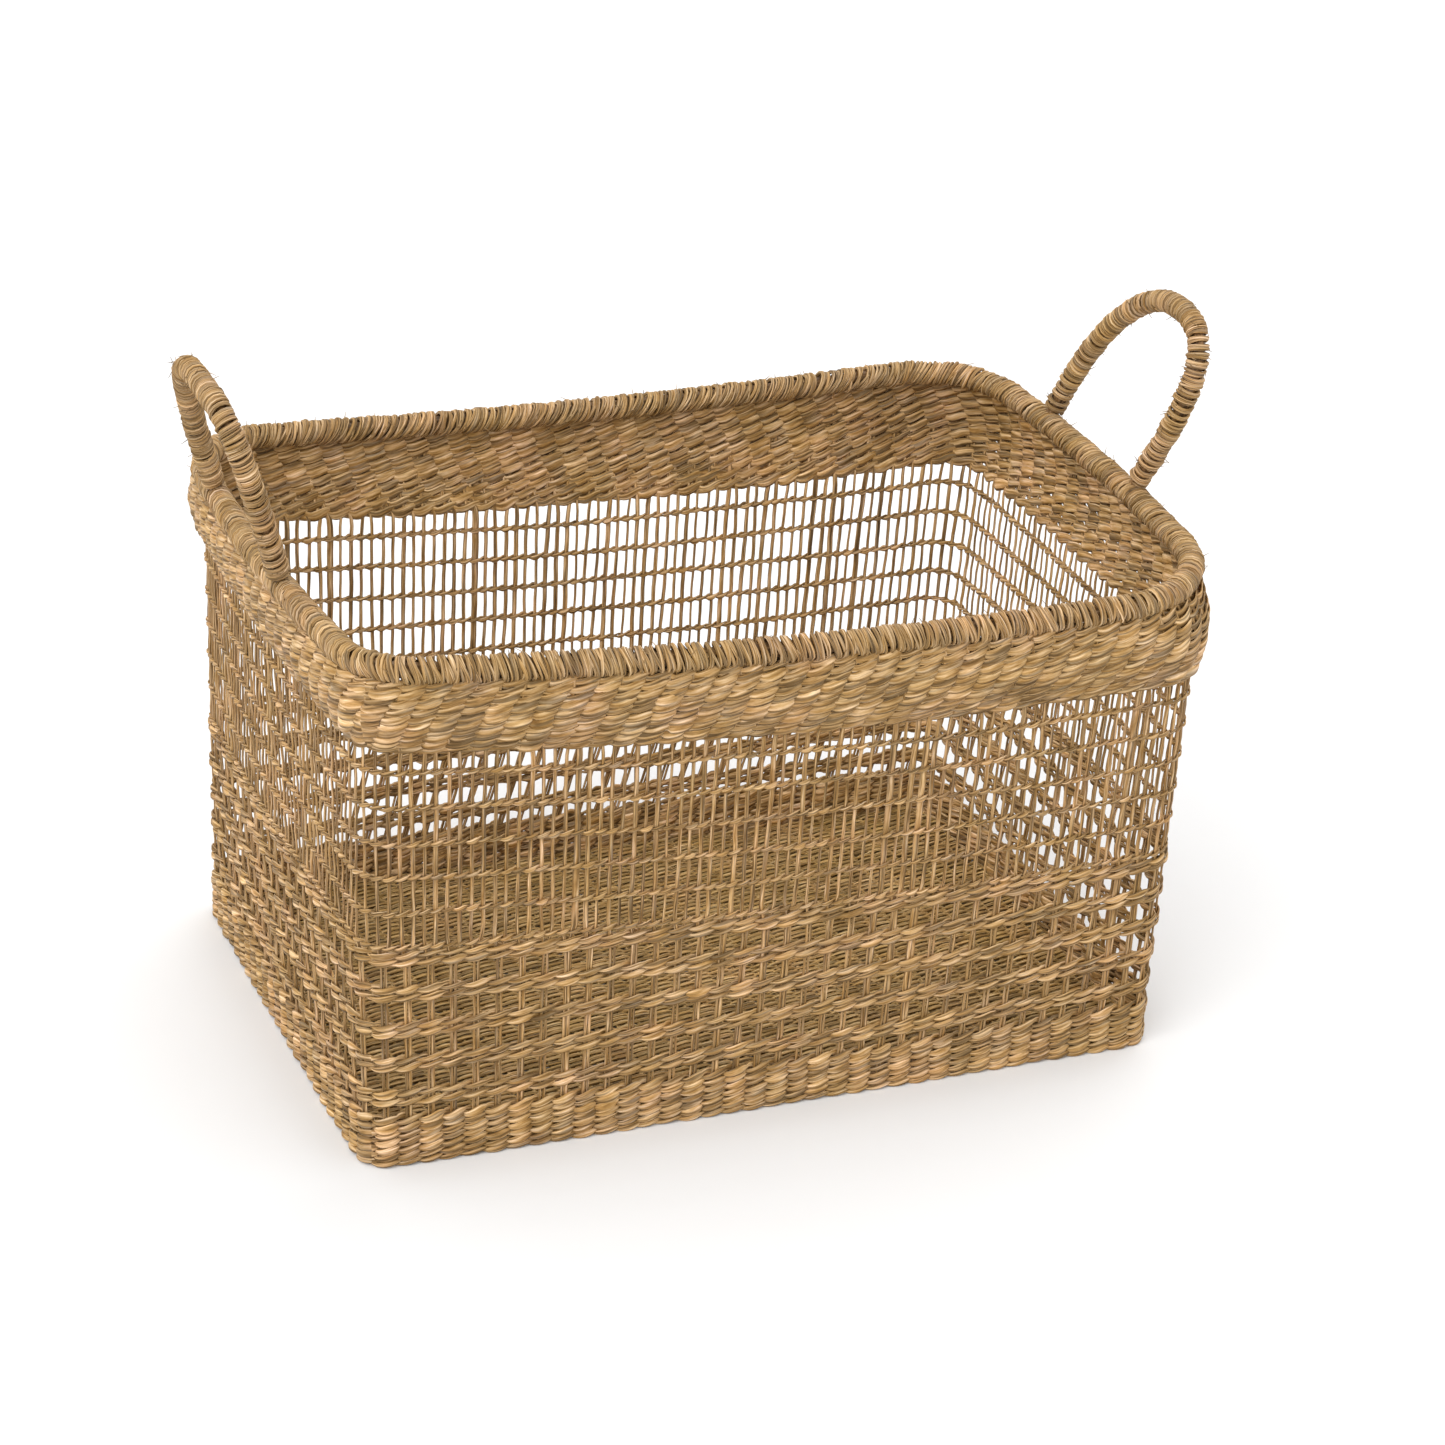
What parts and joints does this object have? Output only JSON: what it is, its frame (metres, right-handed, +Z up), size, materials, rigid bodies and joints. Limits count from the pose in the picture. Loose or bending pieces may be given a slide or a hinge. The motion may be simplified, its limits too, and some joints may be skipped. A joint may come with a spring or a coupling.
{
  "type": "seagrass storage basket",
  "caption": "Open-top rectangular woven basket with openwork walls on upright stakes, dense twined bands, a wrapped rim and two wrapped loop handles.",
  "frame": {"origin": "centre of the underside of the base, on the surface that the basket stands on", "axes": "+Z up out of the open top, X along the long side with a handle at each end, -Y the front"},
  "size_m": [0.5364, 0.3216, 0.3712],
  "materials": {
    "seagrass_base": "dry twined grass",
    "seagrass_twined": "dry twined grass",
    "seagrass_stakes": "dry flat strips",
    "seagrass_wrap": "dry twisted grass wrapping",
    "core_cane": "bare cane"
  },
  "bodies": {
    "root": {"base_mat": "seagrass_base", "double_row_1": "seagrass_twined", "double_row_2": "seagrass_twined", "double_row_3": "seagrass_twined", "double_row_4": "seagrass_twined", "double_row_5": "seagrass_twined", "handle_core_left": "core_cane", "handle_core_right": "core_cane", "handle_wrap_left": "seagrass_wrap", "handle_wrap_right": "seagrass_wrap", "lower_band": "seagrass_twined", "rim_core": "core_cane", "rim_wrap": "seagrass_wrap", "single_row_1": "seagrass_twined", "single_row_2": "seagrass_twined", "single_row_3": "seagrass_twined", "single_row_4": "seagrass_twined", "single_row_5": "seagrass_twined", "single_row_6": "seagrass_twined", "stakes_back": "seagrass_stakes", "stakes_front": "seagrass_stakes", "stakes_left": "seagrass_stakes", "stakes_right": "seagrass_stakes", "upper_band": "seagrass_twined"}
  },
  "joints": []
}
